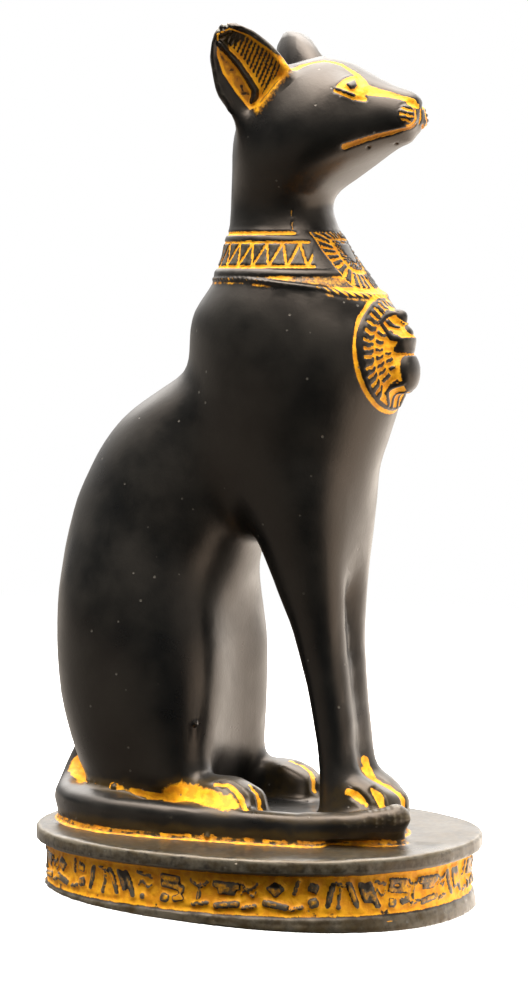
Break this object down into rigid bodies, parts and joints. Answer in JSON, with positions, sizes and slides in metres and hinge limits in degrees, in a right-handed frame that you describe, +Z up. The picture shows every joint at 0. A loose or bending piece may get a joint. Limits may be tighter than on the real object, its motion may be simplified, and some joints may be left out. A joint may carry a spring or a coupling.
{
  "type": "seated cat statuette",
  "caption": "Seated Egyptian cat statuette with upright ears, broad collar and beetle pendant, tail laid along its side, on an oval plinth with a band of raised signs.",
  "frame": {"origin": "centre of the plinth's underside, on the surface it stands on", "axes": "+X the way the cat faces, +Y to its left, +Z up"},
  "size_m": [0.1332, 0.1056, 0.2508],
  "materials": {
    "black_stone": "satin"
  },
  "bodies": {
    "root": {"cat_figure": "black_stone"}
  },
  "joints": []
}
